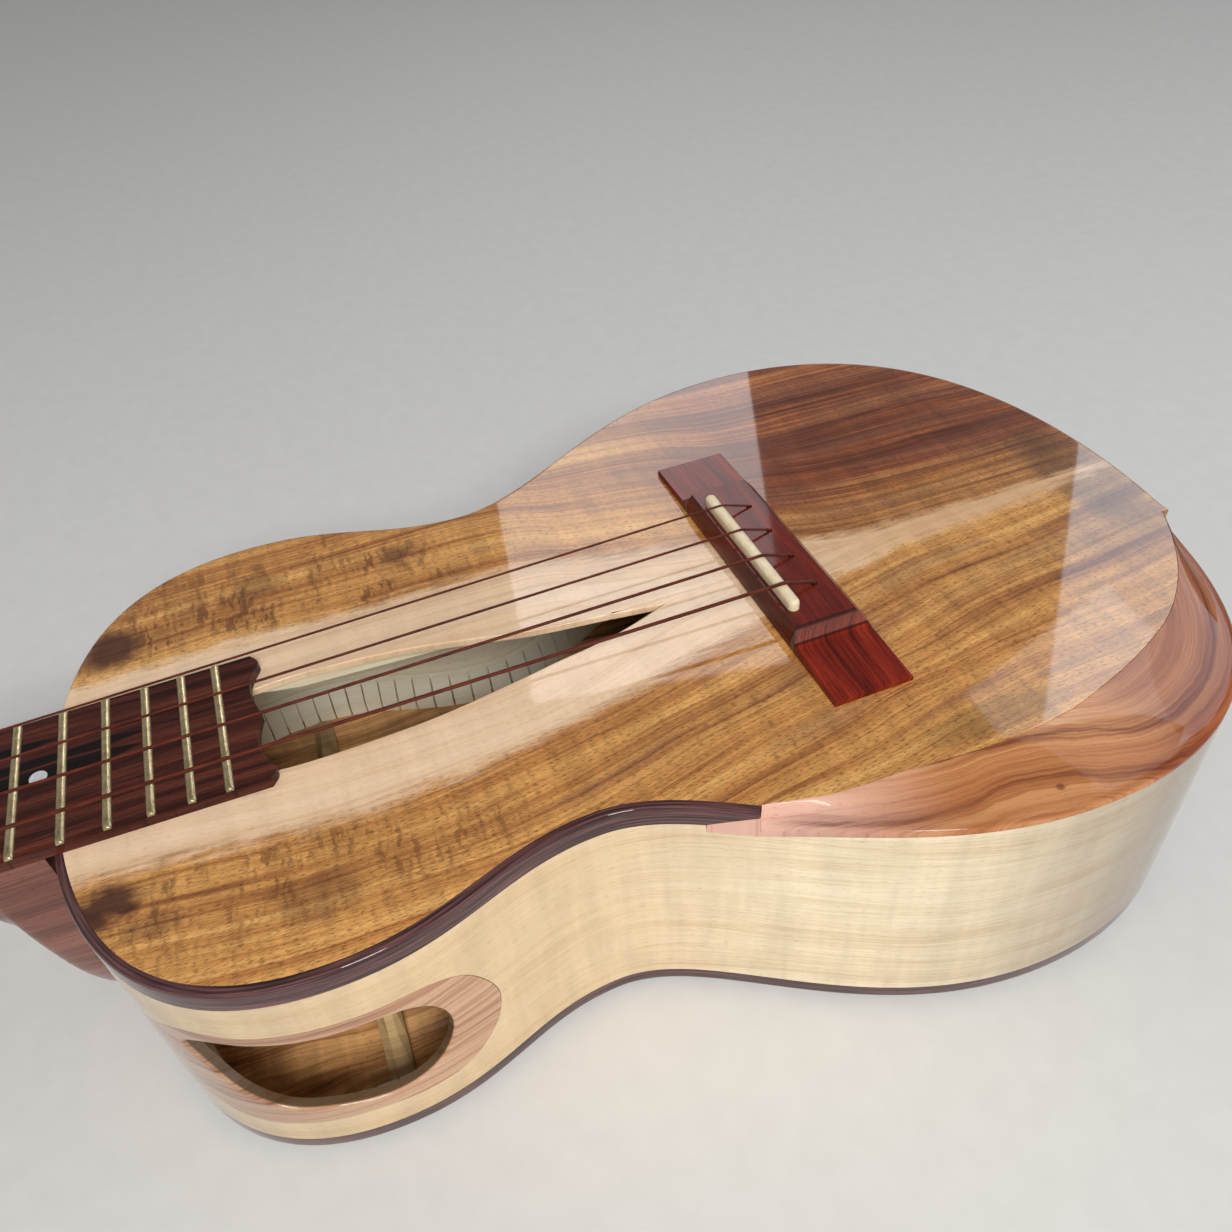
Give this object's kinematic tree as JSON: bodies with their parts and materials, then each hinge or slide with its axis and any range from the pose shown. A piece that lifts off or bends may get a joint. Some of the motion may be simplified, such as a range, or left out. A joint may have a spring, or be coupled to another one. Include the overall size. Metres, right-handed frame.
{
  "type": "tenor ukulele",
  "caption": "Hollow wooden tenor ukulele with a bevelled arm edge, a slot soundhole in the top, a leaf-shaped soundport in the side, a neck with frets, and geared tuners that wind the strings.",
  "frame": {"origin": "Bottom centre of the bounding box: midway between the tail and the headstock tip, on the centre line, at the back.", "axes": "+Y runs along the neck towards the headstock, +Z points out of the soundboard, and +X is the treble side."},
  "size_m": [0.2035, 0.6748, 0.0856],
  "materials": {
    "figured_tonewood": "gloss",
    "pale_tonewood": "gloss",
    "veneer_wood": "gloss",
    "dark_wood": "satin",
    "mahogany": "satin",
    "spruce": "matt",
    "bone": "satin",
    "plated_steel": "polished",
    "string_nylon": "gloss"
  },
  "bodies": {
    "instrument": {"arm_bevel": "veneer_wood", "back_bass": "figured_tonewood", "back_binding_bass": "dark_wood", "back_binding_treble": "dark_wood", "back_brace_lower": "spruce", "back_brace_upper": "spruce", "back_brace_waist": "spruce", "back_strip": "spruce", "back_treble": "figured_tonewood", "bevel_block": "spruce", "bridge": "dark_wood", "bridge_plate": "mahogany", "fan_brace_bass": "spruce", "fan_brace_centre": "spruce", "fan_brace_treble": "spruce", "fretboard": "dark_wood", "headstock_veneer": "dark_wood", "heel_cap": "dark_wood", "lining_back_bass": "spruce", "lining_back_treble": "spruce", "lining_top_bass": "spruce", "lining_top_treble": "spruce", "neck": "mahogany", "neck_block": "mahogany", "neck_bolt": "plated_steel", "nut": "bone", "saddle": "bone", "side_bass": "pale_tonewood", "side_treble": "pale_tonewood", "slot_brace_bass": "spruce", "slot_brace_treble": "spruce", "soundboard_bass": "figured_tonewood", "soundboard_treble": "figured_tonewood", "soundport_ring": "veneer_wood", "string_a": "string_nylon", "string_c": "string_nylon", "string_e": "string_nylon", "string_g": "string_nylon", "tail_block": "mahogany", "top_binding_bass": "dark_wood", "top_brace_lower": "spruce", "top_brace_upper": "spruce", "tuner_plate_a": "plated_steel", "tuner_plate_c": "plated_steel", "tuner_plate_e": "plated_steel", "tuner_plate_g": "plated_steel"},
    "button_g": {"tuner_shaft_g": "plated_steel"},
    "post_g": {"tuner_post_g": "plated_steel", "string_winding_g": "string_nylon"},
    "button_c": {"tuner_shaft_c": "plated_steel"},
    "post_c": {"tuner_post_c": "plated_steel", "string_winding_c": "string_nylon"},
    "button_e": {"tuner_shaft_e": "plated_steel"},
    "post_e": {"tuner_post_e": "plated_steel", "string_winding_e": "string_nylon"},
    "button_a": {"tuner_shaft_a": "plated_steel"},
    "post_a": {"tuner_post_a": "plated_steel", "string_winding_a": "string_nylon"}
  },
  "joints": [
    {"name": "button_turn_g", "type": "hinge", "parent": "instrument", "child": "button_g", "pos_m": [-0.018, 0.26198, 0.04807], "axis": [1, 0, 0], "continuous": true},
    {"name": "post_turn_g", "type": "hinge", "parent": "instrument", "child": "post_g", "pos_m": [-0.018, 0.25682, 0.06631], "axis": [0, 0.2079, 0.9781], "continuous": true},
    {"name": "button_turn_c", "type": "hinge", "parent": "instrument", "child": "button_c", "pos_m": [-0.018, 0.30405, 0.03913], "axis": [1, 0, 0], "continuous": true},
    {"name": "post_turn_c", "type": "hinge", "parent": "instrument", "child": "post_c", "pos_m": [-0.018, 0.29888, 0.05738], "axis": [0, 0.2079, 0.9781], "continuous": true},
    {"name": "button_turn_e", "type": "hinge", "parent": "instrument", "child": "button_e", "pos_m": [0.018, 0.30405, 0.03913], "axis": [1, 0, 0], "continuous": true},
    {"name": "post_turn_e", "type": "hinge", "parent": "instrument", "child": "post_e", "pos_m": [0.018, 0.29888, 0.05738], "axis": [0, 0.2079, 0.9781], "continuous": true},
    {"name": "button_turn_a", "type": "hinge", "parent": "instrument", "child": "button_a", "pos_m": [0.018, 0.26198, 0.04807], "axis": [1, 0, 0], "continuous": true},
    {"name": "post_turn_a", "type": "hinge", "parent": "instrument", "child": "post_a", "pos_m": [0.018, 0.25682, 0.06631], "axis": [0, 0.2079, 0.9781], "continuous": true}
  ],
  "couplings": [
    {"joint": "post_turn_g", "follows": "button_turn_g", "ratio": 0.071429},
    {"joint": "post_turn_c", "follows": "button_turn_c", "ratio": 0.071429},
    {"joint": "post_turn_e", "follows": "button_turn_e", "ratio": 0.071429},
    {"joint": "post_turn_a", "follows": "button_turn_a", "ratio": 0.071429}
  ]
}
